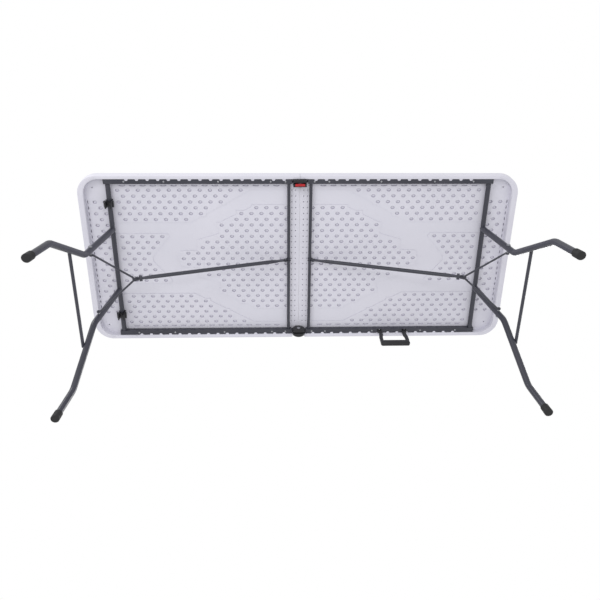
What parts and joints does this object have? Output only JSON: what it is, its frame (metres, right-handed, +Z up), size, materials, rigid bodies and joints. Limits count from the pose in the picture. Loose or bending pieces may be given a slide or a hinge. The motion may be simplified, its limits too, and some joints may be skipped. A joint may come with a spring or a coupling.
{
  "type": "folding table",
  "caption": "Fold-in-half banquet table: moulded plastic top with a textured underside on a grey steel frame, folding legs with bent feet, centre-locking braces and a carry handle.",
  "frame": {"origin": "on the floor, under the middle of the open table", "axes": "+X along the table towards the half with the carry handle, +Y across it towards the side with the handle, +Z up"},
  "size_m": [1.8396, 0.76, 0.74],
  "materials": {
    "moulded_top": "blow-moulded polyethylene with a fine grain",
    "frame_steel": "satin grey powder coat",
    "black_plastic": "moulded nylon",
    "foot_rubber": "soft moulded caps",
    "zinc_steel": "zinc-plated fasteners",
    "latch_red": "moulded red plastic"
  },
  "bodies": {
    "left_half": {"left_top": "moulded_top", "left_rail_near": "frame_steel", "left_rail_far": "frame_steel", "left_inner_tube": "frame_steel", "left_rail_plugs": "black_plastic", "left_rail_screws": "zinc_steel", "left_pivot_bushes": "black_plastic", "left_leaf_near": "frame_steel", "left_leaf_far": "frame_steel", "hinge_pin_near": "zinc_steel", "hinge_pin_far": "zinc_steel", "latch_body": "black_plastic", "hinge_cap_near": "black_plastic", "hinge_cap_far": "black_plastic", "hinge_dome_far": "black_plastic", "clip_near": "black_plastic", "clip_far": "black_plastic", "left_strut_bracket": "frame_steel", "left_strut_pin": "zinc_steel"},
    "right_half": {"right_top": "moulded_top", "right_rail_near": "frame_steel", "right_rail_far": "frame_steel", "right_inner_tube": "frame_steel", "right_rail_plugs": "black_plastic", "right_rail_screws": "zinc_steel", "right_pivot_bushes": "black_plastic", "right_leaf_near": "frame_steel", "right_leaf_far": "frame_steel", "handle_lugs": "black_plastic", "handle_pins": "zinc_steel", "handle_screws": "zinc_steel", "right_strut_bracket": "frame_steel", "right_strut_pin": "zinc_steel"},
    "latch": {"latch_slider": "latch_red"},
    "handle": {"carry_handle": "black_plastic"},
    "left_leg_frame": {"left_cross_tube": "frame_steel", "left_leg_near": "frame_steel", "left_leg_far": "frame_steel", "left_leg_rod": "frame_steel", "left_foot_near": "foot_rubber", "left_foot_far": "foot_rubber", "left_brace_bolts": "zinc_steel"},
    "left_strut_arm": {"left_strut": "frame_steel", "left_joint_rivet": "zinc_steel"},
    "left_ring": {"left_lock_ring": "frame_steel"},
    "left_fork": {"left_fork_near": "frame_steel", "left_fork_far": "frame_steel"},
    "right_leg_frame": {"right_cross_tube": "frame_steel", "right_leg_near": "frame_steel", "right_leg_far": "frame_steel", "right_leg_rod": "frame_steel", "right_foot_near": "foot_rubber", "right_foot_far": "foot_rubber", "right_brace_bolts": "zinc_steel"},
    "right_strut_arm": {"right_strut": "frame_steel", "right_joint_rivet": "zinc_steel"},
    "right_ring": {"right_lock_ring": "frame_steel"},
    "right_fork": {"right_fork_near": "frame_steel", "right_fork_far": "frame_steel"}
  },
  "joints": [
    {"name": "center_fold", "type": "hinge", "parent": "left_half", "child": "right_half", "pos_m": [0, 0, 0.695], "axis": [0, 1, 0], "range_deg": [0, 90]},
    {"name": "latch_slide", "type": "slide", "parent": "left_half", "child": "latch", "axis": [-1, 0, 0], "range_m": [-0.008, 0]},
    {"name": "handle_swing", "type": "hinge", "parent": "right_half", "child": "handle", "pos_m": [0.428, 0.353, 0.689], "axis": [1, 0, 0], "range_deg": [-75, 90]},
    {"name": "left_leg_fold", "type": "hinge", "parent": "left_half", "child": "left_leg_frame", "pos_m": [-0.79, 0, 0.7095], "axis": [0, -1, 0], "range_deg": [0, 98.2]},
    {"name": "left_strut_fold", "type": "hinge", "parent": "left_half", "child": "left_strut_arm", "pos_m": [-0.06, 0, 0.704], "axis": [0, 1, 0], "range_deg": [0, 16.99]},
    {"name": "left_fork_fold", "type": "hinge", "parent": "left_strut_arm", "child": "left_fork", "pos_m": [-0.67857, 0, 0.51755], "axis": [0, -1, 0], "range_deg": [0, 180.1]},
    {"name": "left_ring_slide", "type": "slide", "parent": "left_strut_arm", "child": "left_ring", "axis": [0.9575, 0, 0.2886], "range_m": [-0.012, 0]},
    {"name": "right_leg_fold", "type": "hinge", "parent": "right_half", "child": "right_leg_frame", "pos_m": [0.79, 0, 0.7095], "axis": [0, 1, 0], "range_deg": [0, 98.2]},
    {"name": "right_strut_fold", "type": "hinge", "parent": "right_half", "child": "right_strut_arm", "pos_m": [0.06, 0, 0.704], "axis": [0, -1, 0], "range_deg": [0, 16.99]},
    {"name": "right_fork_fold", "type": "hinge", "parent": "right_strut_arm", "child": "right_fork", "pos_m": [0.67857, 0, 0.51755], "axis": [0, 1, 0], "range_deg": [0, 180.1]},
    {"name": "right_ring_slide", "type": "slide", "parent": "right_strut_arm", "child": "right_ring", "axis": [-0.9575, 0, 0.2886], "range_m": [-0.012, 0]}
  ],
  "couplings": [
    {"joint": "left_strut_fold", "follows": "left_leg_fold", "ratio": 0.17287},
    {"joint": "left_fork_fold", "follows": "left_leg_fold", "ratio": 1.833},
    {"joint": "right_strut_fold", "follows": "right_leg_fold", "ratio": 0.17287},
    {"joint": "right_fork_fold", "follows": "right_leg_fold", "ratio": 1.833}
  ]
}
